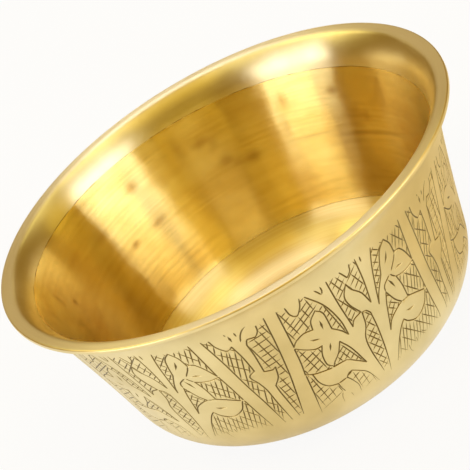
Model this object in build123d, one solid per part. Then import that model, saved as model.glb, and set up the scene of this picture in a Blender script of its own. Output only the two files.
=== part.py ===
from build123d import *
import os
from math import asin, atan2, cos, hypot, radians, sin, tan

# Offering bowl of brass: a flared lip ring, a tapered wall and a dished base plate, brazed together.
# Millimetres, +Z up. The origin is the centre of the flat face that the bowl stands on.

# Outside of the bowl
rim_diameter = 100.0
bowl_height = 45.0
wall_sweep_radius = 400.0   # the wall is very slightly hollow from base to neck
bottom_radius = 15.2        # round between the wall and the flat face
base_face_diameter = 48.4   # flat face underneath

# Lip
lip_height = 5.4            # from the rim down to the neck, where the joint line shows inside
lip_overhang = 4.6          # from the rim in to the neck
lip_land_width = 2.5        # flat top of the lip
lip_edge_thickness = 1.1
lip_edge_radius = 0.4
largest_round_share = 0.45  # of the lip edge's thickness, that one edge round may take

# Thickness of the metal
neck_wall_thickness = 1.4
floor_thickness = 3.0       # curled-in bottom, braze and base plate together

# Joint between lip and wall: a lap that climbs outwards under the flare
lip_tongue_thickness = 0.7
lap_height = 3.0
lap_lean = 25.0             # degrees from upright

# Joint between wall and base plate
plate_thickness = 1.5
plate_edge_angle = 62.0     # degrees that the plate climbs round the bottom corner
base_hole_diameter = 40.0

# Braze
braze_gap = 0.15

# Worked out from the sizes above
rim_radius = rim_diameter / 2
neck_radius = rim_radius - lip_overhang
neck_height = bowl_height - lip_height
inner_neck_radius = neck_radius - neck_wall_thickness
base_face_radius = base_face_diameter / 2
floor_corner_radius = bottom_radius - floor_thickness
edge_round = min(lip_edge_radius, largest_round_share * lip_edge_thickness)
well_clear = rim_radius + bowl_height


def outer_wall_centre():
    """Centre of the wall's hollow sweep: it touches the bottom round and passes through the neck."""
    across = neck_radius - base_face_radius
    up = neck_height - bottom_radius
    span = hypot(across, up)
    to_foot = ((wall_sweep_radius + bottom_radius) ** 2 - wall_sweep_radius**2 + span**2) / (2 * span)
    aside = ((wall_sweep_radius + bottom_radius) ** 2 - to_foot**2) ** 0.5
    x = base_face_radius + (to_foot * across + aside * up) / span
    z = bottom_radius + (to_foot * up - aside * across) / span
    return x, z


def inner_wall_lean():
    """Angle from upright of the straight inner wall, from the inner neck to the round of the floor."""
    across = inner_neck_radius - base_face_radius
    up = neck_height - bottom_radius
    return atan2(across, up) - asin(floor_corner_radius / hypot(across, up))


def corner_point(radius, angle):
    """Point on a round about the bottom corner's centre; the angle is up from straight down."""
    return base_face_radius + radius * sin(angle), bottom_radius - radius * cos(angle)


def half_section(edges):
    """Face in the XZ plane, to the right of the axis, from edges drawn in plan."""
    return Plane.XZ * make_face(edges)


def arc_middle(start, end, centre, radius):
    """Middle of the short arc from start to end about a centre."""
    toward_x = (start[0] + end[0]) / 2 - centre[0]
    toward_z = (start[1] + end[1]) / 2 - centre[1]
    length = hypot(toward_x, toward_z)
    return centre[0] + radius * toward_x / length, centre[1] + radius * toward_z / length


def outer_area():
    """Everything inside the bowl's outer surface."""
    centre_x, centre_z = outer_wall_centre()
    wall_angle = atan2(centre_x - base_face_radius, bottom_radius - centre_z)
    sweep_start = corner_point(bottom_radius, wall_angle)
    middle_of_corner = corner_point(bottom_radius, wall_angle / 2)
    neck = (neck_radius, neck_height)
    neck_direction = (neck_height - centre_z, centre_x - neck_radius)
    under_edge = (rim_radius - edge_round, bowl_height - lip_edge_thickness)
    edge_low = (rim_radius, bowl_height - lip_edge_thickness + edge_round)
    edge_high = (rim_radius, bowl_height - edge_round)
    top = (rim_radius - edge_round, bowl_height)
    middle_of_sweep = arc_middle(sweep_start, neck, (centre_x, centre_z), wall_sweep_radius)
    return half_section([
        Line((0, 0), (base_face_radius, 0)),
        ThreePointArc((base_face_radius, 0), middle_of_corner, sweep_start),
        ThreePointArc(sweep_start, middle_of_sweep, neck),
        TangentArc(neck, under_edge, tangent=neck_direction),
        RadiusArc(under_edge, edge_low, -edge_round),
        Line(edge_low, edge_high),
        RadiusArc(edge_high, top, -edge_round),
        Line(top, (0, bowl_height)),
        Line((0, bowl_height), (0, 0)),
    ])


def cavity_area(depth):
    """The bowl's inside, sunk into the metal by a depth: floor, round, straight wall and flare."""
    lean = inner_wall_lean()
    round_radius = floor_corner_radius + depth
    floor_height = floor_thickness - depth
    round_end = corner_point(round_radius, radians(90) - lean)
    middle_of_round = corner_point(round_radius, (radians(90) - lean) / 2)
    neck = (inner_neck_radius + depth * cos(lean), neck_height - depth * sin(lean))
    land_edge = (rim_radius - lip_land_width, bowl_height)
    return half_section([
        Line((0, floor_height), (base_face_radius, floor_height)),
        ThreePointArc((base_face_radius, floor_height), middle_of_round, round_end),
        Line(round_end, neck),
        TangentArc(neck, land_edge, tangent=(sin(lean), cos(lean))),
        Line(land_edge, (0, bowl_height)),
        Line((0, bowl_height), (0, floor_height)),
    ])


def area(*corners):
    """Half section with straight sides."""
    return half_section(Polyline(*corners, close=True))


def lip_side(gap):
    """Everything on the lip's side of the lap joint, moved down and outwards by a gap."""
    seam = neck_height - gap
    tongue = inner_neck_radius + lip_tongue_thickness + gap / cos(radians(lap_lean))
    climb = tan(radians(lap_lean))
    lap_top = seam + lap_height
    tongue_at_seam = tongue - gap * climb
    return area(
        (0, seam),
        (tongue_at_seam, seam),
        (tongue_at_seam + lap_height * climb, lap_top),
        (well_clear, lap_top),
        (well_clear, well_clear),
        (0, well_clear),
    )


def plate_side(gap):
    """Everything on the plate's side of the base joint, widened by a gap."""
    edge_angle = radians(plate_edge_angle)
    edge_x = base_face_radius + gap * cos(edge_angle)
    edge_z = bottom_radius + gap * sin(edge_angle)
    edge_end = (edge_x + well_clear * sin(edge_angle), edge_z - well_clear * cos(edge_angle))
    below_edge = area((0, edge_z), (edge_x, edge_z), edge_end, (0, -well_clear))
    hole_radius = base_hole_diameter / 2 + gap
    plug = area((0, 0), (hole_radius, 0), (hole_radius, floor_thickness), (0, floor_thickness))
    return (cavity_area(plate_thickness + gap) & below_edge) + plug


def turned(section):
    """Full turn of a half section about the bowl's axis."""
    return revolve(section, axis=Axis.Z)


shell = outer_area() - cavity_area(0)

sections = {
    "lip_ring": shell & lip_side(0),
    "lip_braze": (shell & lip_side(braze_gap)) - lip_side(0),
    "bowl_wall": shell - lip_side(braze_gap) - plate_side(braze_gap),
    "base_braze": (shell & plate_side(braze_gap)) - plate_side(0),
    "base_plate": shell & plate_side(0),
}

os.makedirs("parts", exist_ok=True)
for node, section in sections.items():
    export_step(turned(section), f"parts/{node}.step")
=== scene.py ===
from math import asin, atan2, ceil, cos, hypot, pi, radians, sin

import bmesh
import bpy
import numpy as np
from mathutils import Matrix, Vector, geometry, noise


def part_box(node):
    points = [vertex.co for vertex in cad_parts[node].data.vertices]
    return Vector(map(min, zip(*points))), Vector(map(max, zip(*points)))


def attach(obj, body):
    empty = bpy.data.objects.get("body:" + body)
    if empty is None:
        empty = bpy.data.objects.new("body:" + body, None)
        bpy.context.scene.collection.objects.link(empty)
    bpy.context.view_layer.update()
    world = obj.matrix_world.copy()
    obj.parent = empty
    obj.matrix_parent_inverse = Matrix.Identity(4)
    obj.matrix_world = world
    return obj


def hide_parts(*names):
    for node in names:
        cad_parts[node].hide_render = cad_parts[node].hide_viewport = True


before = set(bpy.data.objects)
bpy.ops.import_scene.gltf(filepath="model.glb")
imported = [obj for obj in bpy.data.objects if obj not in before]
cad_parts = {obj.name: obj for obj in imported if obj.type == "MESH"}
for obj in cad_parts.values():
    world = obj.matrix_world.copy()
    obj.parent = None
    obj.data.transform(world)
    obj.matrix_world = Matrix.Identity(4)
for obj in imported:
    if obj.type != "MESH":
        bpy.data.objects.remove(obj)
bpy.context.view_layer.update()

# An engraved brass offering bowl: flared lip ring, tapered wall and dished base plate, brazed together.
# Shapes are worked out in millimetres, in the half plane (r, z), and turned about the Z axis.

MM = 0.001

# Outside of the bowl
lip_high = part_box("lip_ring")[1]
rim_radius = lip_high.x / MM
bowl_height = lip_high.z / MM
lip_overhang = 4.6
lip_height = 5.4
wall_sweep_radius = 400.0
bottom_radius = 15.2
base_face_radius = 24.2
lip_land_width = 2.5
lip_edge_thickness = 1.1
lip_edge_round = 0.4
soft_edge = 0.9             # how far the land's inner edge is rounded over, on each side of it

# Thickness of the metal and its joints
neck_wall_thickness = 1.4
floor_thickness = 3.0
lip_tongue_thickness = 0.7
lap_height = 3.1            # up to the outer seam, a little more than in the solids
lap_climb = 0.466           # outwards for each millimetre up: a lean of 25 degrees
plate_thickness = 1.5
plate_edge_angle = radians(62.0)
base_hole_radius = 20.0
braze_gap = 0.15

# Finished by hand: the lip's seam and the engraved band run 2 degrees out of level, higher at the left
hand_slant = 0.035

neck = (rim_radius - lip_overhang, bowl_height - lip_height)
inner_neck = (neck[0] - neck_wall_thickness, neck[1])
floor_corner_radius = bottom_radius - floor_thickness

# Marks left by hammering on the inside: how deep and how wide
mark_depth = 0.07
mark_width = 9.0
fine_mark_depth = 0.025
fine_mark_width = 3.5
mark_stretch = 2.0          # how much longer the marks are down the wall than round it
mark_fade = 2.0

# How far the engraver's repeats wander, by sine waves, each (waves per turn, start in radians)
wander_round = 0.35         # degrees
wander_down = 0.2
waves_round = [(3, 0.4), (7, 2.0)]
waves_down = [(4, 1.0), (9, 2.6)]

# How finely the turned surfaces are cut: columns round the bowl, and points and rows along its half sections
columns = 288
arc_points = 97
edge_step = 12              # on the lip's small rounds, one in so many of an arc's points is kept
row_step = 1.0              # millimetres
flare_step = 0.4            # millimetres
land_points = 5
lip_rows = 18
wall_rows = 60
neck_rows = 6
foot_rows = 20
joint_points = 12

# Cleaning a mesh: the gap that is welded, the shortest edge kept and the bend that makes an edge sharp
weld_gap = 0.001
shortest_edge = 0.00001
sharp_bend = radians(25.0)


def corner_point(radius, angle):
    """Point on a round about the bottom corner's centre; the angle is up from straight down."""
    return base_face_radius + radius * sin(angle), bottom_radius - radius * cos(angle)


def arc(centre, start, end):
    """Points on the short arc from start to end about a centre."""
    radius = hypot(start[0] - centre[0], start[1] - centre[1])
    first = atan2(start[1] - centre[1], start[0] - centre[0])
    last = atan2(end[1] - centre[1], end[0] - centre[0])
    swing = (last - first + pi) % (2 * pi) - pi
    angles = np.linspace(first, first + swing, arc_points)
    return [(centre[0] + radius * cos(a), centre[1] + radius * sin(a)) for a in angles]


def tangent_arc(start, direction, end):
    """Points on the arc that leaves start in a direction and ends at end."""
    length = hypot(*direction)
    side = (-direction[1] / length, direction[0] / length)
    across = (end[0] - start[0], end[1] - start[1])
    radius = (across[0] ** 2 + across[1] ** 2) / (2 * (side[0] * across[0] + side[1] * across[1]))
    return arc((start[0] + radius * side[0], start[1] + radius * side[1]), start, end)


def sweep_centre():
    """Centre of the wall's hollow sweep: it touches the bottom round and passes through the neck."""
    across = neck[0] - base_face_radius
    up = neck[1] - bottom_radius
    span = hypot(across, up)
    reach = wall_sweep_radius + bottom_radius
    to_foot = (reach**2 - wall_sweep_radius**2 + span**2) / (2 * span)
    aside = (reach**2 - to_foot**2) ** 0.5
    return (
        base_face_radius + (to_foot * across + aside * up) / span,
        bottom_radius + (to_foot * up - aside * across) / span,
    )


class Path:
    """A line in the half plane that can be read at any distance along it."""

    def __init__(self, points):
        points = np.array(points)
        steps = np.hypot(*np.diff(points, axis=0).T)
        self.points = points[np.concatenate([[True], steps > 0])]
        steps = steps[steps > 0]
        self.distance = np.concatenate([[0], np.cumsum(steps)])
        self.length = self.distance[-1]

    def at(self, distance):
        """The r and z at a distance, or at several."""
        r = np.interp(distance, self.distance, self.points[:, 0])
        z = np.interp(distance, self.distance, self.points[:, 1])
        return r, z

    def nearest(self, point):
        """Distance along the path of its sample nearest to a point."""
        gaps = np.hypot(*(self.points - np.array(point)).T)
        return self.distance[gaps.argmin()]

    def heading(self, distance):
        """The path's direction at a distance, or at several."""
        step = 0.05
        r0, z0 = self.at(distance - step)
        r1, z1 = self.at(distance + step)
        length = np.hypot(r1 - r0, z1 - z0)
        return (r1 - r0) / length, (z1 - z0) / length


def outer_path():
    """The outside, from the lip's lower edge down the flare, the wall and the bottom round to the plate."""
    centre = sweep_centre()
    wall_angle = atan2(centre[0] - base_face_radius, bottom_radius - centre[1])
    sweep_end = corner_point(bottom_radius, wall_angle)
    up_the_neck = (neck[1] - centre[1], centre[0] - neck[0])
    under_edge = (rim_radius - lip_edge_round, bowl_height - lip_edge_thickness)
    flare = tangent_arc(neck, up_the_neck, under_edge)[::-1]
    wall = arc(centre, neck, sweep_end)
    corner = arc((base_face_radius, bottom_radius), sweep_end, (base_face_radius, 0.0))
    return Path(flare + wall + corner + [(base_hole_radius + braze_gap, 0.0)])


def inner_path():
    """The inside, from the land's inner edge down the flare, the straight wall and the round to the axis."""
    across = inner_neck[0] - base_face_radius
    up = inner_neck[1] - bottom_radius
    lean = atan2(across, up) - asin(floor_corner_radius / hypot(across, up))
    land_edge = (rim_radius - lip_land_width, bowl_height)
    flare = tangent_arc(inner_neck, (sin(lean), cos(lean)), land_edge)[::-1]
    round_start = corner_point(floor_corner_radius, pi / 2 - lean)
    floor_edge = (base_face_radius, floor_thickness)
    corner = arc((base_face_radius, bottom_radius), round_start, floor_edge)
    return Path(flare + corner + [(0.0, floor_thickness)])


# Distances along the two paths to their joints
outer = outer_path()
inner = inner_path()
outer_neck_at = outer.nearest(neck)
inner_neck_at = inner.nearest(inner_neck)
outer_seam_at = outer.distance[np.argmin(abs(outer.points[:, 1] - neck[1] - lap_height))]
plate_edge_at = inner.nearest(corner_point(floor_corner_radius, plate_edge_angle))

# The ends of the wall's outside, as distances down from the neck
seam_down = outer_seam_at + braze_gap - outer_neck_at
foot_down = outer.length - outer_neck_at


def slant_at(angle):
    """How far down the wall the hand-made slant moves a line, at an angle round from the front."""
    return hand_slant * neck[0] * np.sin(angle)


def spaced(path, start, end, count):
    """A number of evenly spaced points on a path from one distance to another, both ends included."""
    r, z = path.at(np.linspace(start, end, count))
    return list(zip(r, z))


def along(path, start, end, step):
    """Points about a step apart on a path from one distance to another, both ends included."""
    return spaced(path, start, end, max(2, ceil(abs(end - start) / step) + 1))


def lap_joint(angle, gap):
    """Joint between lip and wall, from the inner seam to the outer one, set towards the wall by a gap."""
    seam = inner.at(inner_neck_at + slant_at(angle) + gap)
    tongue = (seam[0] + lip_tongue_thickness + gap, seam[1])
    outer_seam = outer.at(outer_seam_at + gap)
    lap_top = (tongue[0] + lap_climb * (outer_seam[1] - tongue[1]), outer_seam[1])
    return [seam, tongue, lap_top, outer_seam]


def plate_joint(gap):
    """Joint between wall and base plate, from the inner seam to the foot, set towards the wall by a gap."""
    under = floor_corner_radius + plate_thickness + gap
    edge_angle = plate_edge_angle + gap / floor_corner_radius
    low = floor_thickness - plate_thickness - gap
    round_under = [corner_point(under, a) for a in np.linspace(edge_angle, 0, joint_points)]
    hole = base_hole_radius + gap
    return [corner_point(floor_corner_radius, edge_angle)] + round_under + [(hole, low), (hole, 0.0)]


def lip_section(angle):
    """Closed half section of the lip ring."""
    rim, top = rim_radius, bowl_height
    under = (rim - lip_edge_round, top - lip_edge_thickness)
    low_edge = (rim, under[1] + lip_edge_round)
    high_edge = (rim, top - lip_edge_round)
    land = (rim - lip_edge_round, top)
    flare = along(outer, outer_seam_at, 0.0, flare_step)
    low_round = arc((under[0], low_edge[1]), under, low_edge)[::edge_step]
    high_round = arc((land[0], high_edge[1]), high_edge, land)[::edge_step]
    soft_start = (rim - lip_land_width + soft_edge, top)
    land_rows = [(r, top) for r in np.linspace(land[0], soft_start[0], land_points)][1:-1]
    back_up = [-h for h in inner.heading(soft_edge)]
    soft_corner = tangent_arc(inner.at(soft_edge), back_up, soft_start)[::-edge_step]
    inside = spaced(inner, soft_edge, inner_neck_at + slant_at(angle), lip_rows)[1:]
    outside = flare[:-1] + low_round + high_round
    joint_without_ends = lap_joint(angle, 0.0)[1:3]
    return outside + land_rows + soft_corner + inside + joint_without_ends


def lip_braze_section(angle):
    """Closed half section of the braze between lip and wall."""
    return lap_joint(angle, 0.0) + lap_joint(angle, braze_gap)[::-1]


def hammer_marks(angle, down):
    """How far the hammer has sunk the inside of the wall, at an angle round and a distance down."""
    spot = Vector((cos(angle) * inner_neck[0], sin(angle) * inner_neck[0], down / mark_stretch))
    coarse = mark_depth * noise.noise(spot / mark_width)
    fine = fine_mark_depth * noise.noise(spot / fine_mark_width)
    return coarse + fine


def wall_inside_section(angle):
    """Half section from the outer lap seam, over the joint, down the wall's inside and out to the foot."""
    top = inner_neck_at + slant_at(angle) + braze_gap
    bottom = plate_edge_at - braze_gap
    fade = (top, top + mark_fade, bottom - mark_fade, bottom)
    rows = []
    for down, (r, z) in zip(np.linspace(top, bottom, wall_rows), spaced(inner, top, bottom, wall_rows)):
        sunk = hammer_marks(angle, down) * np.interp(down, fade, (0, 1, 1, 0))
        heading_r, heading_z = inner.heading(down)
        rows.append((r - sunk * heading_z, z + sunk * heading_r))
    return lap_joint(angle, braze_gap)[::-1][:-1] + rows + plate_joint(braze_gap)[1:]


def base_braze_section(angle):
    """Closed half section of the braze between wall and base plate, the same all round."""
    return plate_joint(0.0) + plate_joint(braze_gap)[::-1]


def base_section(angle):
    """Half section of the base plate, from the floor's middle over the joint to the middle underneath."""
    rows = along(inner, inner.length, plate_edge_at, row_step)
    return rows + plate_joint(0.0)[1:] + [(base_hole_radius / 2, 0.0), (0.0, 0.0)]


# Brown staining on the inside, and three wide soft patches of painted shade low on the wall: degrees round
# from the front, millimetres down from the land, half the width round, half the height and how dark. The
# last two are parts of a scored ring.
stains_and_painted_shade = [
    (-156, 12.1, 1.5, 1.3, 0.7),
    (-156, 21.8, 1.9, 0.8, 0.6),
    (-145, 21.7, 1.1, 0.7, 0.8),
    (-137, 14.5, 2.4, 1.6, 0.35),
    (-110, 16.1, 1.0, 0.9, 0.8),
    (-108, 13.0, 2.5, 4.0, 0.25),
    (-105, 12.1, 0.8, 2.2, 0.5),
    (-102, 19.5, 0.8, 3.5, 0.45),
    (-94, 10.2, 0.8, 1.8, 0.5),
    # Painted shade: the wide soft patches at -113, -126 and -116 degrees darken the lower wall where it lies
    # deep in shade
    (-113, 25.0, 6.0, 6.0, 0.3),
    (-123, 12.5, 3.0, 2.0, 0.3),
    (-126, 30.0, 7.0, 6.0, 0.3),
    (-116, 21.0, 10.0, 9.0, 0.4),
    (-174, 11.9, 1.0, 3.0, 0.3),
    (179, 13.4, 2.1, 1.1, 0.45),
    (176, 14.8, 1.2, 2.0, 0.3),
    (175, 19.6, 1.9, 1.5, 0.45),
    (172, 21.0, 1.2, 1.0, 0.35),
    (167, 21.5, 2.0, 1.2, 0.6),
    (153, 18.3, 1.0, 3.5, 0.25),
    (151, 12.5, 1.1, 2.0, 0.6),
    (134, 12.8, 1.3, 1.0, 0.7),
    (124, 19.3, 1.1, 1.3, 0.3),
    (115, 14.0, 1.5, 4.0, 0.25),
    (146, 22.0, 6.0, 0.4, 0.35),
    (122, 23.0, 9.0, 0.4, 0.55),
]


def stain_and_shade_at(x, y, z):
    """How dark the inside is made by staining and by painted shade, from 0 to 1, at places in millimetres.
    """
    degrees = np.degrees(np.arctan2(x, -y))
    down = np.interp(-z, -inner.points[:, 1], inner.distance)
    darkened = np.zeros(len(x))
    for spot_degrees, spot_down, half_width, half_height, darkness in stains_and_painted_shade:
        across = np.radians((degrees - spot_degrees + 180) % 360 - 180) * np.hypot(x, y)
        spread = (across / half_width) ** 2 + ((down - spot_down) / half_height) ** 2
        darkened = np.maximum(darkened, darkness * np.exp(-spread))
    return darkened


# The engraved band: one sixth of the wall holds a wide panel, a narrow panel and the plain bars beside them.
# Each point is (degrees round from the front, millimetres down the wall from the neck), as it lies on the
# bowl, slant included. A ground is the cross-hatched metal round the leaves: its two hatches, each (degrees
# up from level, millimetres between lines), and the lines that bound it, in order round it, with gaps where
# it is open.
repeats = 6
grounds = [
    # Wide panel, round the hanging bud and the two upper leaves at the left
    (((99, 1.6), (33, 1.25)), [
        [(-5.2, 1.8), (-5.7, 6.5), (-6.3, 12.0)],
        [(-6.3, 12.0), (-5.0, 10.9), (-2.5, 10.1), (-0.1, 10.5)],
        [(-0.1, 10.5), (0.6, 8.3), (2.7, 6.7)],
        [(2.7, 6.7), (4.2, 8.4), (4.2, 13.0)],
        [(4.2, 13.0), (6.0, 14.8), (7.3, 16.7)],
        [(7.3, 16.7), (7.1, 12.5), (5.4, 7.0), (2.2, 2.2)],
        [(0.9, 1.8), (0.2, 3.6), (-1.5, 5.3), (-2.8, 4.2), (-3.1, 2.0)],
    ]),
    # Round the middle leaf and the small bud above it
    (((110, 1.74), (42, 1.19)), [
        [(8.4, 2.2), (8.7, 9.0), (9.3, 15.8)],
        [(9.3, 15.8), (10.4, 14.5), (12.9, 14.0)],
        [(12.9, 14.0), (11.1, 10.8), (10.8, 8.2), (12.5, 5.8)],
        [(12.5, 5.8), (13.3, 7.8), (15.3, 10.2), (16.6, 13.7)],
        [(16.6, 13.7), (17.2, 8.0), (17.2, 2.2)],
        [(15.3, 2.2), (14.9, 3.8), (13.6, 4.7)],
        [(13.6, 4.7), (13.0, 3.6), (12.3, 2.4)],
    ]),
    # Left of the upper right leaf
    (((135, 1.3), (47, 1.3)), [
        [(22.2, 2.7), (20.8, 6.5), (19.6, 11.0), (18.5, 15.5)],
        [(18.5, 15.5), (19.6, 13.3), (22.2, 10.0)],
        [(22.2, 10.0), (23.2, 7.2), (24.4, 4.9), (26.4, 3.5)],
    ]),
    # Above the right leaf
    (((123, 2.0), (71, 1.0)), [
        [(26.4, 3.5), (27.8, 5.5), (28.2, 8.2)],
        [(28.2, 8.2), (29.8, 8.3), (31.4, 10.2), (32.9, 13.2)],
        [(32.9, 13.2), (32.7, 8.0), (32.5, 2.9)],
    ]),
    # Between the right leaf and the lowest leaf
    (((130, 2.0), (71, 0.95)), [
        [(26.2, 13.2), (27.0, 15.8), (27.4, 19.4)],
        [(27.4, 19.4), (29.5, 20.1), (33.4, 21.6)],
        [(34.1, 21.5), (33.6, 17.5), (33.0, 13.6)],
        [(33.0, 13.6), (30.5, 13.9), (28.0, 13.7), (26.2, 13.2)],
    ]),
    # Left of the downward leaf
    (((135, 1.3), (47, 1.3)), [
        [(21.6, 14.4), (20.5, 16.8), (19.3, 20.5), (18.5, 22.8)],
        [(18.5, 22.8), (20.0, 20.9), (22.7, 19.7), (24.9, 19.2)],
        [(24.9, 19.2), (23.2, 17.4), (21.6, 14.4)],
    ]),
    # Under the lowest leaf at the right
    (((130, 2.0), (71, 0.95)), [
        [(23.3, 23.1), (24.8, 24.5), (28.0, 25.5), (31.6, 24.3), (33.6, 21.9)],
        [(34.2, 22.0), (35.0, 26.5), (36.0, 31.0)],
        [(16.6, 30.5), (19.0, 27.0), (21.5, 24.3), (23.3, 23.1)],
    ]),
    # Between the two trunks
    (((120, 1.3), (35, 1.3)), [
        [(13.2, 14.3), (12.6, 17.5), (11.0, 20.2), (10.7, 24.0), (11.4, 30.2)],
        [(13.5, 31.5), (14.7, 25.5), (15.3, 20.0), (15.3, 15.8)],
        [(15.3, 15.8), (14.4, 14.6), (13.2, 14.3)],
    ]),
    # Between the left leaf and the lowest left leaf
    (((99, 1.65), (24, 1.37)), [
        [(-6.5, 12.6), (-7.1, 16.5), (-7.9, 19.8)],
        [(-7.9, 19.8), (-5.5, 20.8), (-1.0, 21.6)],
        [(-0.6, 21.2), (-1.6, 20.2), (-1.4, 17.6), (-0.2, 15.3)],
        [(-0.2, 15.3), (-2.0, 15.2), (-4.2, 14.1), (-6.4, 12.5)],
    ]),
    # Right of the left petal
    (((108, 1.3), (35, 1.1)), [
        [(4.3, 16.9), (6.2, 20.2), (8.0, 25.4)],
        [(8.0, 25.4), (5.8, 23.6), (3.3, 21.9), (-0.4, 21.6)],
        [(-0.4, 21.6), (0.6, 20.6), (2.6, 19.2), (4.3, 16.9)],
    ]),
    # Under the lowest leaf at the left
    (((95, 1.5), (22, 1.4)), [
        [(-7.9, 20.3), (-8.8, 25.5), (-10.0, 31.0)],
        [(-1.2, 28.5), (-1.6, 27.3), (-1.8, 26.0)],
        [(-1.8, 26.0), (-4.4, 25.2), (-6.0, 23.2), (-6.3, 20.6)],
    ]),
    # Left of the left trunk's foot
    (((95, 1.5), (22, 1.4)), [
        [(1.2, 25.8), (2.2, 27.3), (3.0, 29.2), (2.8, 31.0)],
        [(9.0, 32.0), (7.2, 28.0), (5.3, 26.3), (3.3, 25.0)],
        [(3.3, 25.0), (2.2, 25.1), (1.2, 25.8)],
    ]),
    # Narrow panel, left of its stem
    (((72, 0.9), (132, 2.3)), [
        [(-24.2, 1.4), (-23.2, 8.5), (-22.4, 16.0), (-21.2, 23.0), (-20.2, 29.5)],
        [(-18.0, 29.5), (-18.5, 24.0), (-18.6, 19.5), (-19.2, 17.0)],
        [(-19.2, 17.0), (-20.1, 14.6), (-18.1, 13.5)],
        [(-18.1, 13.5), (-18.2, 9.0), (-18.7, 5.2)],
        [(-18.7, 5.2), (-20.2, 5.9), (-21.9, 4.0), (-22.4, 1.8)],
    ]),
    # Narrow panel, right of its stem
    (((14, 1.55), (96, 1.6)), [
        [(-16.1, 14.5), (-15.5, 9.5), (-15.4, 6.2)],
        [(-15.4, 6.2), (-14.4, 4.8), (-12.6, 5.1), (-11.3, 4.0), (-10.9, 2.5)],
        [(-8.4, 1.6), (-9.6, 10.0), (-11.2, 18.0), (-12.9, 24.0), (-14.4, 29.0)],
        [(-15.6, 29.0), (-16.0, 21.5), (-15.9, 19.2)],
        [(-15.9, 19.2), (-14.0, 17.3), (-13.0, 14.5)],
        [(-13.0, 14.5), (-14.0, 14.9), (-16.1, 14.5)],
    ]),
]

# Lines inside the leaves and between the grounds
leaf_lines = [
    [(4.7, 2.0), (5.5, 3.2), (6.1, 4.3)],
    [(6.1, 4.3), (6.6, 3.4), (6.5, 2.0)],
    [(28.2, 8.2), (27.3, 9.4), (25.2, 11.3)],
    [(26.2, 13.2), (25.3, 12.4), (24.6, 11.5)],
    [(21.6, 14.4), (22.0, 12.8), (24.6, 11.5)],
    [(24.9, 19.2), (26.2, 19.4), (27.4, 19.4)],
    [(-1.8, 26.0), (-0.2, 25.9), (1.2, 25.8)],
    [(-1.8, 28.5), (-2.6, 29.5), (-3.0, 31.8)],
    [(21.6, 29.0), (21.8, 30.8), (22.7, 32.2)],
    [(27.0, 28.5), (28.0, 29.5), (29.4, 30.2)],
    [(-18.4, 1.2), (-18.2, 2.2)],
    [(-16.1, 1.7), (-16.1, 3.2)],
    [(-16.2, 5.0), (-15.2, 3.2), (-14.0, 2.0), (-12.7, 1.4)],
]

# Broad tapered cuts: the leaves' veins
veins = [
    [(18.6, 2.2), (18.6, 4.0)],
    [(24.2, 8.8), (25.3, 7.6), (26.1, 6.0)],
    [(26.3, 11.6), (28.0, 11.6), (29.5, 11.9)],
    [(23.3, 12.0), (24.2, 13.6), (24.9, 15.4)],
    [(25.0, 21.8), (26.4, 22.3), (28.5, 22.5)],
    [(-2.3, 12.4), (-1.2, 13.0), (0.5, 13.5)],
    [(2.5, 9.2), (2.4, 10.6), (2.2, 12.1)],
    [(2.1, 15.6), (1.6, 16.6), (0.9, 17.8)],
    [(0.0, 29.5), (0.2, 31.5)],
    [(24.8, 28.8), (24.8, 30.6)],
    [(-17.8, 2.0), (-17.8, 4.2)],
]

# The engraver's cuts, in millimetres: half the width of each kind of line, and the V's depth for each
# millimetre of half width
line_half_width = 0.18
hatch_half_width = 0.16
vein_half_width = 0.28
cut_slope = 0.75
line_step = 0.7             # between the points of a curve
hatch_step = 1.6            # between the points of a hatch line
fewest_hatch_points = 4
line_overrun = 0.2
hatch_taper = 0.4
thinnest_cut = 0.035
hatch_wander = 2.0          # degrees
hatch_unevenness = 0.16     # of the pitch
first_seed = 11

# The band lies between two rows, and its lines are worn away at the top and towards the bottom
band_end = 34.0
band_rows = 27
band_radius = 43.0          # at which the band is unrolled
band_lean = 0.11            # degrees round for each millimetre down: a repeat is cut along a plain bar
cell_start = -26.25         # degrees
cell_columns = columns // repeats
cell_width = 360.0 / repeats
column_width = 360.0 / columns
millimetres_per_degree = radians(1.0) * band_radius
wear_top = (0.9, 2.4)
wear_bottom = (25.0, 34.0)
grid_clearance = 0.32       # between a cut and the nearest point of the plain grid
merge_gap = 0.0001          # within which the triangulation merges points
inside_border = 1           # the triangulation's number for keeping what lies inside the border


def wear(down):
    """How much of a cut is left, from 0 to 1, at a distance down the level band."""
    top = np.interp(down, wear_top, (0.0, 1.0))
    bottom = np.interp(down, wear_bottom, (1.0, 0.0))
    return top * bottom


def flat(points):
    """Points of the pattern in the unrolled band, x round and y up, with the slant taken out."""
    degrees, down = np.array(points, float).T
    return np.column_stack([degrees * millimetres_per_degree, slant_at(np.radians(degrees)) - down])


def smooth(points):
    """Evenly spaced points on a smooth curve through the given points."""
    ends = [2 * points[0] - points[1], *points, 2 * points[-1] - points[-2]]
    curve = []
    for before, start, end, after in zip(ends, ends[1:], ends[2:], ends[3:]):
        count = max(2, ceil(np.hypot(*(end - start)) / line_step))
        for t in np.arange(count) / count:
            bend = (end - before) * t + (2 * before - 5 * start + 4 * end - after) * t**2
            curve.append(start + (bend + (3 * start - before - 3 * end + after) * t**3) / 2)
    return np.array(curve + [points[-1]])


def lengthen(points, overrun):
    """The same line, run on a little at both ends."""
    first = points[0] - points[1]
    last = points[-1] - points[-2]
    start = points[0] + first * overrun / np.hypot(*first)
    end = points[-1] + last * overrun / np.hypot(*last)
    return np.vstack([start, points, end])


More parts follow.
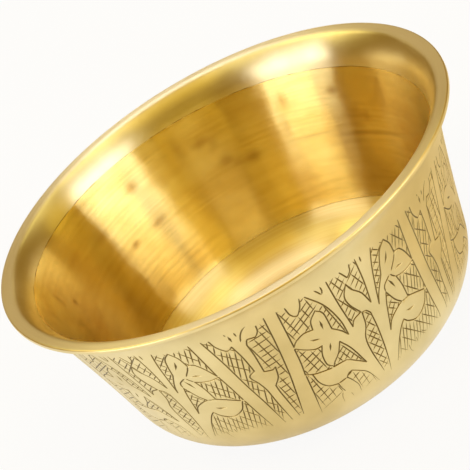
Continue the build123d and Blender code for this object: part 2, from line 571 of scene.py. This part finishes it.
def cut(points, half_width, taper):
    """A cut along a line: its points and half widths, thinned by wear and pointed at both ends."""
    steps = np.hypot(*np.diff(points, axis=0).T)
    distance = np.concatenate([[0], np.cumsum(steps)])
    from_end = np.minimum(distance, distance[-1] - distance)
    widths = half_width * wear(-points[:, 1]) * np.clip(from_end / taper, 0, 1)
    kept = np.flatnonzero(widths > thinnest_cut)
    if len(kept) == 0:
        return None
    span = slice(max(kept[0] - 1, 0), kept[-1] + 2)
    points, widths = points[span], widths[span].copy()
    widths[0] = widths[-1] = 0
    return points, widths


def crossings(polygon, origin, direction):
    """Distances along a line at which it crosses a closed polygon, in order."""
    side = np.array([-direction[1], direction[0]])
    heights = (polygon - origin) @ side
    reach = (polygon - origin) @ direction
    after_heights, after_reach = np.roll(heights, -1), np.roll(reach, -1)
    crossed = (heights > 0) != (after_heights > 0)
    share = heights[crossed] / (heights[crossed] - after_heights[crossed])
    return np.sort(reach[crossed] + share * (after_reach[crossed] - reach[crossed]))


def hatch(polygon, angle, pitch, random):
    """Hand-spaced parallel cuts across a ground."""
    cuts = []
    tilt = radians(angle)
    side = np.array([-sin(tilt), cos(tilt)])
    middle = polygon.mean(axis=0)
    heights = polygon @ side
    for height in np.arange(heights.min() + pitch / 2, heights.max(), pitch):
        height += pitch * random.uniform(-hatch_unevenness, hatch_unevenness)
        wander = tilt + radians(random.uniform(-hatch_wander, hatch_wander))
        direction = np.array([cos(wander), sin(wander)])
        origin = middle + side * (height - middle @ side)
        ends = crossings(polygon, origin, direction)
        for start, end in zip(ends[::2], ends[1::2]):
            count = max(fewest_hatch_points, ceil((end - start) / hatch_step) + 1)
            line = origin + np.outer(np.linspace(start, end, count), direction)
            cuts.append(cut(line, hatch_half_width, hatch_taper))
    return cuts


def engraver_cuts(repeat):
    """Every cut of one repeat of the band; each repeat is hatched a little differently."""
    random = np.random.default_rng(first_seed + repeat)
    cuts = []
    for hatches, lines in grounds:
        curves = [smooth(flat(line)) for line in lines]
        cuts += [cut(lengthen(curve, line_overrun), line_half_width, line_overrun) for curve in curves]
        outline = np.vstack(curves)
        for angle, pitch in hatches:
            cuts += hatch(outline, angle, pitch, random)
    for line in leaf_lines:
        cuts.append(cut(smooth(flat(line)), line_half_width, hatch_taper))
    for line in veins:
        curve = smooth(flat(line))
        cuts.append(cut(curve, vein_half_width, np.hypot(*(curve[-1] - curve[0])) / 2))
    return [c for c in cuts if c is not None]


def cut_depths(points, cuts):
    """At each point of the unrolled band: the depth of the deepest cut there, and how close cuts come."""
    depths = np.zeros(len(points))
    clearance = np.full(len(points), np.inf)
    order = np.argsort(points[:, 0])
    across = points[order, 0]
    for line, widths in cuts:
        reach = widths.max() + grid_clearance
        first_near = across.searchsorted(line[:, 0].min() - reach)
        past_near = across.searchsorted(line[:, 0].max() + reach)
        near = order[first_near:past_near]
        for start, end, first, last in zip(line, line[1:], widths, widths[1:]):
            along_cut = end - start
            share = np.clip((points[near] - start) @ along_cut / (along_cut @ along_cut), 0, 1)
            gap = np.hypot(*(points[near] - start - share[:, None] * along_cut).T)
            half_width = first + share * (last - first)
            depths[near] = np.maximum(depths[near], cut_slope * (half_width - gap))
            clearance[near] = np.minimum(clearance[near], gap - half_width)
    return depths, clearance


def cut_edges(cuts):
    """Points and edges of every cut's bottom and two sides, which meet at its pointed ends."""
    points, edges = [], []
    for line, widths in cuts:
        heading = np.gradient(line, axis=0)
        side = np.column_stack([-heading[:, 1], heading[:, 0]]) / np.hypot(*heading.T)[:, None]
        first = len(points)
        bottom = list(range(first, first + len(line)))
        points.extend(line)
        for sign in (1, -1):
            rail = line + sign * side * widths[:, None]
            middle = list(range(len(points), len(points) + len(line) - 2))
            points.extend(rail[1:-1])
            chain = [bottom[0], *middle, bottom[-1]]
            edges.extend(zip(chain, chain[1:]))
        edges.extend(zip(bottom, bottom[1:]))
    return points, edges


def band_grid():
    """Points of the plain grid over one repeat of the band, and which of them lie on its border."""
    points, border = [], []
    for i in range(cell_columns + 1):
        for j, down in enumerate(np.linspace(0.0, band_end, band_rows)):
            degrees = cell_start + i * column_width + band_lean * down
            points.append((degrees * millimetres_per_degree, -down))
            border.append(i in (0, cell_columns) or j in (0, band_rows - 1))
    return np.array(points), np.array(border)


def border_edges():
    """Edges along the border of one repeat, each from one (column, row) of the grid to the next."""
    edges = []
    for j in range(band_rows - 1):
        edges += [((i, j), (i, j + 1)) for i in (0, cell_columns)]
    for i in range(cell_columns):
        edges += [((i, j), (i + 1, j)) for j in (0, band_rows - 1)]
    return edges


def band_cell(repeat):
    """One repeat of the engraved band: degrees round, millimetres down, depths and triangles."""
    cuts = engraver_cuts(repeat)
    points, edges = cut_edges(cuts)
    grid, border = band_grid()
    _, clearance = cut_depths(grid, cuts)
    kept = border | (clearance > grid_clearance)
    number = (np.cumsum(kept) - 1 + len(points)).reshape(-1, band_rows)
    points.extend(grid[kept])
    edges.extend((int(number[start]), int(number[end])) for start, end in border_edges())
    corners = [Vector(p) for p in points]
    joined, _, faces, *_ = geometry.delaunay_2d_cdt(corners, edges, [], inside_border, merge_gap)
    joined = np.array(joined)
    depths, _ = cut_depths(joined, cuts)
    return joined[:, 0] / millimetres_per_degree, -joined[:, 1], depths, faces


def join_rings(bm, rings, closed):
    """Adds the faces between neighbouring half sections, all the way round the axis."""
    count = len(rings[0])
    for ring, after in zip(rings, rings[1:] + rings[:1]):
        for j in range(count if closed else count - 1):
            k = (j + 1) % count
            bm.faces.new((ring[j], ring[k], after[k], after[j]))


def add_turned(bm, section, closed):
    """Adds the faces of a half section turned about the axis; its points on the axis are welded later."""
    rings = []
    for i in range(columns):
        angle = 2 * pi * i / columns
        places = [(r * sin(angle) * MM, -r * cos(angle) * MM, z * MM) for r, z in section(angle)]
        rings.append([bm.verts.new(p) for p in places])
    join_rings(bm, rings, closed)


def finish_mesh(name, bm):
    """Makes a piece of a mesh, welded, with its faces outwards and smooth between its sharp edges."""
    bmesh.ops.remove_doubles(bm, verts=bm.verts, dist=weld_gap * MM)
    bmesh.ops.dissolve_degenerate(bm, edges=bm.edges, dist=shortest_edge * MM)
    bmesh.ops.recalc_face_normals(bm, faces=bm.faces)
    if bm.calc_volume(signed=True) < 0:
        bmesh.ops.reverse_faces(bm, faces=bm.faces)
    mesh = bpy.data.meshes.new(name)
    bm.to_mesh(mesh)
    bm.free()
    mesh.shade_smooth()
    mesh.set_sharp_from_angle(angle=sharp_bend)
    piece = bpy.data.objects.new(name, mesh)
    bpy.context.collection.objects.link(piece)
    return piece


def turned_piece(name, section, closed=True):
    """A piece that is all turned from one half section."""
    bm = bmesh.new()
    add_turned(bm, section, closed)
    return finish_mesh(name, bm)


def waves(parts, angle):
    """Mean of several sine waves at an angle round."""
    return sum(np.sin(count * angle + start) for count, start in parts) / len(parts)


def on_outside(degrees, down, depth):
    """Point on the wall's outside, in metres, at an angle round and a distance down the level wall."""
    in_band = np.interp(down, (seam_down, 0.0, band_end, foot_down), (0.0, 1.0, 1.0, 0.0))
    angle = np.radians(degrees)
    angle = angle + in_band * radians(wander_round) * waves(waves_round, angle)
    slanted = down + in_band * (slant_at(angle) + wander_down * waves(waves_down, angle))
    r, z = outer.at(outer_neck_at + slanted)
    heading_r, heading_z = outer.heading(outer_neck_at + slanted)
    r = r + depth * heading_z
    z = z - depth * heading_r
    return np.column_stack([r * np.sin(angle), -r * np.cos(angle), z]) * MM


def add_band(bm, depth_layer):
    """Adds the engraved band, one repeat after another."""
    for repeat in range(repeats):
        degrees, down, depths, faces = band_cell(repeat)
        verts = [bm.verts.new(p) for p in on_outside(degrees + repeat * cell_width, down, depths)]
        for vert, depth in zip(verts, depths):
            vert[depth_layer] = depth
        for face in faces:
            bm.faces.new([verts[i] for i in face])


def add_plain_outside(bm, downs):
    """Adds the plain outside above or below the band, with rows at distances down the level wall."""
    lean = np.interp(downs, (0.0, band_end, foot_down), (0.0, band_lean * band_end, 0.0))
    rings = []
    for i in range(columns):
        places = on_outside(cell_start + i * column_width + lean, downs, 0.0)
        rings.append([bm.verts.new(p) for p in places])
    join_rings(bm, rings, closed=False)


def wall_mesh():
    """The wall: its outside with the engraved band; its inside and joints get the second material."""
    bm = bmesh.new()
    depth_layer = bm.verts.layers.float.new("cut")
    stain_and_shade_layer = bm.verts.layers.float.new("stain_and_shade")
    add_band(bm, depth_layer)
    add_plain_outside(bm, np.linspace(seam_down, 0.0, neck_rows))
    add_plain_outside(bm, np.linspace(band_end, foot_down, foot_rows))
    outside_faces = len(bm.faces)
    outside_verts = len(bm.verts)
    add_turned(bm, wall_inside_section, closed=False)
    bm.verts.ensure_lookup_table()
    inside_verts = bm.verts[outside_verts:]
    # How dark staining and painted shade make each point of the inside, from 0 to 1
    x, y, z = np.array([v.co for v in inside_verts]).T / MM
    for vert, darkened in zip(inside_verts, stain_and_shade_at(x, y, z)):
        vert[stain_and_shade_layer] = darkened
    bm.faces.ensure_lookup_table()
    for face in bm.faces[outside_faces:]:
        face.material_index = 1
    return finish_mesh("wall", bm)


def set_input(tree, socket, value):
    """Sets a node's input to a plain value, or links another node's output to it."""
    if isinstance(value, bpy.types.NodeSocket):
        tree.links.new(value, socket)
    else:
        socket.default_value = value


def add_node(tree, kind, inputs=None, **settings):
    """A new shader node; each input is a plain value or another node's output."""
    made = tree.nodes.new("ShaderNode" + kind)
    for name, value in settings.items():
        setattr(made, name, value)
    for key, value in (inputs or {}).items():
        set_input(tree, made.inputs[key], value)
    return made


# Where the Mix node keeps its two colours and the colour between them
mix_colours = slice(6, 8)
mixed_colour = 2

# How far the brushing's direction is turned from the tangent, in turns
brushing_turn = 0.25


class Finish:
    """A brass material in the making: short calls add nodes to it, with lengths in millimetres."""

    def __init__(self, name, anisotropy=0.0):
        self.material = bpy.data.materials.new(name)
        self.material.use_nodes = True
        self.tree = self.material.node_tree
        self.shader = self.tree.nodes["Principled BSDF"]
        self.feed("Metallic", 1.0)
        if anisotropy:
            self.feed("Anisotropic", anisotropy)
            self.feed("Anisotropic Rotation", brushing_turn)
            self.feed("Tangent", self.node("Tangent", direction_type="RADIAL", axis="Z").outputs[0])
        metres = self.node("TexCoord").outputs["Object"]
        self.place = self.node("VectorMath", {0: metres, "Scale": 1 / MM}, operation="SCALE").outputs[0]

    def node(self, kind, inputs=None, **settings):
        return add_node(self.tree, kind, inputs, **settings)

    def feed(self, name, value):
        """Sets one of the brass's inputs to a plain value or a node's output."""
        set_input(self.tree, self.shader.inputs[name], value)

    def turned(self, around, down):
        """Coordinates for marks of turning: marks per radian round, and per millimetre down the surface."""
        parts = self.node("SeparateXYZ", {0: self.place}).outputs
        level = self.node("CombineXYZ", {0: parts[0], 1: parts[1]}).outputs[0]
        radius = self.node("VectorMath", {0: level}, operation="LENGTH").outputs["Value"]
        way = self.node("VectorMath", {0: level}, operation="NORMALIZE").outputs[0]
        reach = self.node("Math", {0: radius, 1: parts[2]}, operation="ADD").outputs[0]
        way_parts = self.node("SeparateXYZ", {0: way}).outputs
        joined = self.node("CombineXYZ", {0: way_parts[0], 1: way_parts[1], 2: reach}).outputs[0]
        marks = {0: joined, 1: (around, around, down)}
        return self.node("VectorMath", marks, operation="MULTIPLY").outputs[0]

    def noise(self, place, scale=1.0, detail=2.0):
        return self.node("TexNoise", {"Vector": place, "Scale": scale, "Detail": detail}).outputs["Fac"]

    def ramp(self, value, low=0.3, high=0.7, to_low=0.0, to_high=1.0):
        """A value's range, for noise mostly 0.3 to 0.7, spread over another and held at its ends."""
        spread = {"Value": value, "From Min": low, "From Max": high, "To Min": to_low, "To Max": to_high}
        return self.node("MapRange", spread).outputs[0]

    def mix(self, share, first, second):
        """A colour between two, each a plain colour or another node's output."""
        made = self.node("Mix", {0: share}, data_type="RGBA")
        for socket, colour in zip(made.inputs[mix_colours], (first, second)):
            set_input(self.tree, socket, (*colour, 1) if isinstance(colour, tuple) else colour)
        return made.outputs[mixed_colour]

    def bump(self, height, depth):
        """Relief of a depth in millimetres from a height of 0 to 1."""
        return self.node("Bump", {"Height": height, "Distance": depth * MM}).outputs[0]


def wall_outside():
    """Satin brass, a little clouded by handling, with dark patina in the engraver's cuts."""
    dull = (0.77, 0.625, 0.295)
    bright = (0.92, 0.76, 0.385)
    dark = (0.24, 0.17, 0.055)
    dark_depth = 0.05           # from which a cut is all dark
    finish = Finish("wall_outside")
    clouds = finish.noise(finish.place, scale=0.09, detail=3.0)
    metal = finish.mix(finish.ramp(clouds), dull, bright)
    cut_depth = finish.node("Attribute", attribute_name="cut").outputs["Fac"]
    patina = finish.ramp(cut_depth, low=0.0, high=dark_depth)
    finish.feed("Base Color", finish.mix(patina, metal, dark))
    finish.feed("Roughness", finish.ramp(clouds, to_low=0.39, to_high=0.33))
    grain = finish.noise(finish.turned(around=20.0, down=3.0), detail=3.0)
    finish.feed("Normal", finish.bump(grain, depth=0.004))
    return finish.material


def wall_inside():
    """Brass brushed round the inside, mottled by hammering, with brown staining, painted shade low on the
    wall and faint streaks down it.
    """
    dull = (0.76, 0.57, 0.195)
    bright = (0.89, 0.74, 0.335)
    brushed_dull = (0.84, 0.66, 0.25)
    brushed_bright = (0.95, 0.81, 0.40)
    brown = (0.36, 0.19, 0.03)
    finish = Finish("wall_inside", anisotropy=1.0)
    finish.feed("Roughness", 0.23)
    mottle = finish.ramp(finish.noise(finish.turned(around=4.0, down=0.12), detail=3.0))
    brushing = finish.noise(finish.turned(around=2.5, down=1.5), detail=4.0)
    metal = finish.mix(mottle, dull, bright)
    brushed_metal = finish.mix(mottle, brushed_dull, brushed_bright)
    lined = finish.mix(finish.ramp(brushing, low=0.35, high=0.65), metal, brushed_metal)
    # The attribute darkens the inside with brown for its staining and for painted shade low on the wall
    stain_and_shade = finish.node("Attribute", attribute_name="stain_and_shade").outputs["Fac"]
    finish.feed("Base Color", finish.mix(stain_and_shade, lined, brown))
    streaks = finish.noise(finish.turned(around=22.0, down=0.06))
    finish.feed("Normal", finish.bump(streaks, depth=0.008))
    return finish.material


def lip_turned():
    """Brass turned on a lathe: fine rings round the flare."""
    dull = (0.79, 0.69, 0.41)
    bright = (0.85, 0.76, 0.51)
    finish = Finish("lip_turned", anisotropy=0.85)
    clouds = finish.noise(finish.place, scale=0.12, detail=3.0)
    rings = finish.noise(finish.turned(around=1.5, down=4.0))
    finish.feed("Base Color", finish.mix(finish.ramp(clouds, low=0.35, high=0.65), dull, bright))
    finish.feed("Roughness", finish.ramp(rings, to_low=0.28, to_high=0.32))
    finish.feed("Normal", finish.bump(rings, depth=0.004))
    return finish.material


def lip_land():
    """The top of the lip, turned flat and a little duller than the flare."""
    dull = (0.82, 0.73, 0.51)
    bright = (0.88, 0.80, 0.58)
    finish = Finish("lip_land", anisotropy=0.8)
    clouds = finish.noise(finish.turned(around=3.0, down=1.0), detail=3.0)
    finish.feed("Base Color", finish.mix(finish.ramp(clouds), dull, bright))
    finish.feed("Roughness", finish.ramp(clouds, to_low=0.38, to_high=0.46))
    return finish.material


def base_turned():
    """Brass scored in rings by the lathe, coarser than on the lip."""
    dull = (0.83, 0.67, 0.32)
    bright = (0.88, 0.74, 0.40)
    finish = Finish("base_turned", anisotropy=0.95)
    rings = finish.noise(finish.turned(around=1.2, down=1.6), detail=3.0)
    finish.feed("Base Color", finish.mix(finish.ramp(rings, low=0.35, high=0.65), dull, bright))
    finish.feed("Roughness", finish.ramp(rings, to_low=0.29, to_high=0.31))
    finish.feed("Normal", finish.bump(rings, depth=0.0025))
    return finish.material


def braze(name, dark, worn):
    """Filler that is dark in places and worn bright in others, round the bowl."""
    finish = Finish(name, anisotropy=0.9)
    finish.feed("Roughness", 0.35)
    wear_marks = finish.noise(finish.turned(around=9.0, down=0.0))
    finish.feed("Base Color", finish.mix(finish.ramp(wear_marks, low=0.42, high=0.54), dark, worn))
    return finish.material


def register(piece, node, slot, *materials):
    """Gives a piece its materials, hangs it under the root body and hides the part of model.glb that it
    takes the place of.
    """
    for material in materials:
        piece.data.materials.append(material)
    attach(piece, "root")
    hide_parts(node)


def faces_out(face):
    """Whether a face looks away from the bowl's axis."""
    return face.normal.xy.dot(face.center.xy) > 0


def make_lip(outside_brass):
    """The lip ring: the flare inside, the land on top and the wall's finish outside."""
    flare, land, outside = range(3)
    nearly_upright = 0.9
    land_low = (bowl_height - lip_edge_round / 2) * MM
    piece = turned_piece("lip", lip_section)
    register(piece, "lip_ring", "lip_brass", lip_turned(), lip_land(), outside_brass)
    for face in piece.data.polygons:
        if face.normal.z > nearly_upright and face.center.z > land_low:
            face.material_index = land
        elif faces_out(face):
            face.material_index = outside
        else:
            face.material_index = flare


def make_lip_seam(outside_brass):
    """The braze between lip and wall, dark inside and finished with the wall outside."""
    piece = turned_piece("lip_seam", lip_braze_section)
    filler = braze("lip_filler", dark=(0.34, 0.20, 0.05), worn=(0.82, 0.66, 0.32))
    register(piece, "lip_braze", "braze", filler, outside_brass)
    for face in piece.data.polygons:
        face.material_index = 1 if faces_out(face) else 0


def make_wall(outside_brass):
    """The wall, with one finish outside and another inside."""
    register(wall_mesh(), "bowl_wall", "wall_brass", outside_brass, wall_inside())


def make_base_seam():
    """The braze between wall and base plate, nearly as bright as the metal beside it."""
    filler = braze("base_filler", dark=(0.70, 0.51, 0.18), worn=(0.86, 0.70, 0.33))
    register(turned_piece("base_seam", base_braze_section), "base_braze", "braze", filler)


def make_base():
    """The base plate, whose half section ends on the axis and so is open there."""
    piece = turned_piece("base", base_section, closed=False)
    register(piece, "base_plate", "base_brass", base_turned())


# Floor: how far it reaches in metres, its colour and how much of it glows
floor_reach = 3.0
paper_colour = (0.82, 0.84, 0.92)
glowing_share = 0.9

# How bright the floor's glow is in the bowl's reflections, which stands for white and dark cards beside the
# bowl: millimetres to the right of the bowl's middle, and the share of white
mirrored_glow = [(-48, 1.0), (-30, 0.55), (-10, 0.42), (26, 1.0), (36, 0.75), (46, 0.1)]


def card_brightness(tree):
    """The share of white that a reflection shows at each place of the floor."""
    position = add_node(tree, "NewGeometry").outputs["Position"]
    to_right = add_node(tree, "SeparateXYZ", {0: position}).outputs[0]
    first = mirrored_glow[0][0]
    last = mirrored_glow[-1][0]
    across = add_node(tree, "MapRange", {"Value": to_right, "From Min": first * MM, "From Max": last * MM})
    cards = add_node(tree, "ValToRGB", {0: across.outputs[0]})
    stops = cards.color_ramp.elements
    for right, _ in mirrored_glow[1:-1]:
        stops.new((right - first) / (last - first))
    for stop, (_, white) in zip(stops, mirrored_glow):
        stop.color = (white, white, white, 1)
    return cards.outputs[0]


def floor_paper():
    """Pale paper that keeps the bowl's shadow; its glow makes it nearly white to the camera."""
    material = bpy.data.materials.new("floor")
    material.use_nodes = True
    tree = material.node_tree
    tree.nodes.remove(tree.nodes["Principled BSDF"])
    rays = add_node(tree, "LightPath").outputs
    mirrored = {0: card_brightness(tree), 1: rays["Is Glossy Ray"]}
    in_mirror = add_node(tree, "Math", mirrored, operation="MULTIPLY").outputs[0]
    seen = add_node(tree, "Math", {0: in_mirror, 1: rays["Is Camera Ray"]}, operation="ADD").outputs[0]
    through = {0: seen, 1: rays["Is Transmission Ray"]}
    in_all = add_node(tree, "Math", through, operation="ADD", use_clamp=True).outputs[0]
    share = add_node(tree, "Math", {0: in_all, 1: glowing_share}, operation="MULTIPLY").outputs[0]
    paper = add_node(tree, "BsdfDiffuse", {"Color": (*paper_colour, 1)}).outputs[0]
    glow = add_node(tree, "Emission").outputs[0]
    mix = add_node(tree, "MixShader", {0: share, 1: paper, 2: glow}).outputs[0]
    tree.links.new(mix, tree.nodes["Material Output"].inputs["Surface"])
    return material


def make_floor():
    """A square of paper under the bowl."""
    r = floor_reach
    mesh = bpy.data.meshes.new("floor")
    mesh.from_pydata([(-r, -r, 0), (r, -r, 0), (r, r, 0), (-r, r, 0)], [], [(0, 1, 2, 3)])
    mesh.materials.append(floor_paper())
    floor = bpy.data.objects.new("floor", mesh)
    bpy.context.collection.objects.link(floor)


# Colours of the light: the lamps that fill in stand for warm surroundings
white_light = (1.0, 1.0, 1.0)
pale_light = (1.0, 0.92, 0.6)
warm_light = (1.0, 0.9, 0.4)
gold_light = (1.0, 0.75, 0.1)
dim_light = (0.25, 0.13, 0.008)

# Soft lamps: degrees round from the front to the right, degrees up, width and height in metres, radiance and
# colour. All face a point on the bowl's axis from the same distance, in metres.
lamp_distance = 0.9
lamp_target = Vector((0, 0, 0.03))
lamps = {
    "left": (-68.5, 19, 0.7, 0.6, 2.6, white_light),
    "right": (54.5, 19, 0.68, 0.6, 2.5, white_light),
    "near_right": (27, 19, 0.2, 0.6, 0.4, warm_light),
    "side_right": (88, 19, 0.35, 0.6, 0.6, gold_light),
    "top_back": (180, 66, 0.4, 0.35, 3.5, white_light),
    "top_left": (-75, 64, 0.5, 0.3, 1.45, warm_light),
    "top_right": (75, 64, 0.5, 0.3, 2.0, warm_light),
    "back_left": (-125, 50, 0.5, 0.4, 2.0, warm_light),
    "back_right": (125, 50, 0.5, 0.4, 1.0, warm_light),
    "back": (180, 28, 1.0, 0.3, 0.45, pale_light),
    "front": (0, 66, 0.6, 0.35, 1.25, gold_light),
    "low_front": (0, 8, 0.6, 0.25, 0.7, gold_light),
}


def make_lamp(name, azimuth, elevation, width, height, radiance, colour):
    """A large soft lamp that faces the bowl."""
    swung = radians(azimuth)
    raised = radians(elevation)
    back = Vector((sin(swung) * cos(raised), -cos(swung) * cos(raised), sin(raised)))
    lamp = bpy.data.objects.new(name, bpy.data.lights.new(name, "AREA"))
    bpy.context.collection.objects.link(lamp)
    lamp.data.shape = "RECTANGLE"
    lamp.data.size = width
    lamp.data.size_y = height
    lamp.data.energy = radiance * pi * width * height
    lamp.data.color = colour
    lamp.location = lamp_target + back * lamp_distance
    lamp.rotation_mode = "QUATERNION"
    lamp.rotation_quaternion = back.to_track_quat("Z", "Y")


def make_camera():
    """The photograph's view: from the front and 29 degrees up, with the picture rolled."""
    target = Vector((0.0, 0.0, 25.0 * MM))
    distance = 425.0 * MM
    elevation = radians(29.09)
    roll = radians(31.63)
    aim_left = 5.83 * MM
    aim_up = 3.33 * MM
    sensor = 36.0
    lens = 160.3
    forward = Vector((0.0, cos(elevation), -sin(elevation)))
    level_right = Vector((1.0, 0.0, 0.0))
    level_up = level_right.cross(forward)
    right = cos(roll) * level_right - sin(roll) * level_up
    up = sin(roll) * level_right + cos(roll) * level_up
    eye = target - distance * forward
    aim = (target - aim_left * right + aim_up * up - eye).normalized()
    right = aim.cross(up).normalized()
    up = right.cross(aim)
    camera = bpy.data.objects.new("camera", bpy.data.cameras.new("camera"))
    bpy.context.collection.objects.link(camera)
    camera.matrix_world = Matrix.Translation(eye) @ Matrix((right, up, -aim)).transposed().to_4x4()
    camera.data.sensor_width = sensor
    camera.data.lens = lens
    bpy.context.scene.camera = camera


def make_world():
    """Dim warm surroundings, which the camera sees as white."""
    world = bpy.data.worlds.new("studio")
    bpy.context.scene.world = world
    world.use_nodes = True
    tree = world.node_tree
    surroundings = tree.nodes["Background"]
    surroundings.inputs["Color"].default_value = (*dim_light, 1)
    white = add_node(tree, "Background", {"Color": (*white_light, 1)}).outputs[0]
    to_camera = add_node(tree, "LightPath").outputs["Is Camera Ray"]
    mix = add_node(tree, "MixShader", {0: to_camera, 1: surroundings.outputs[0], 2: white}).outputs[0]
    tree.links.new(mix, tree.nodes["World Output"].inputs["Surface"])


outside_brass = wall_outside()
make_lip(outside_brass)
make_lip_seam(outside_brass)
make_wall(outside_brass)
make_base_seam()
make_base()
make_floor()
make_camera()
make_world()
for name, settings in lamps.items():
    make_lamp(name, *settings)
bpy.context.scene.view_settings.view_transform = "Standard"
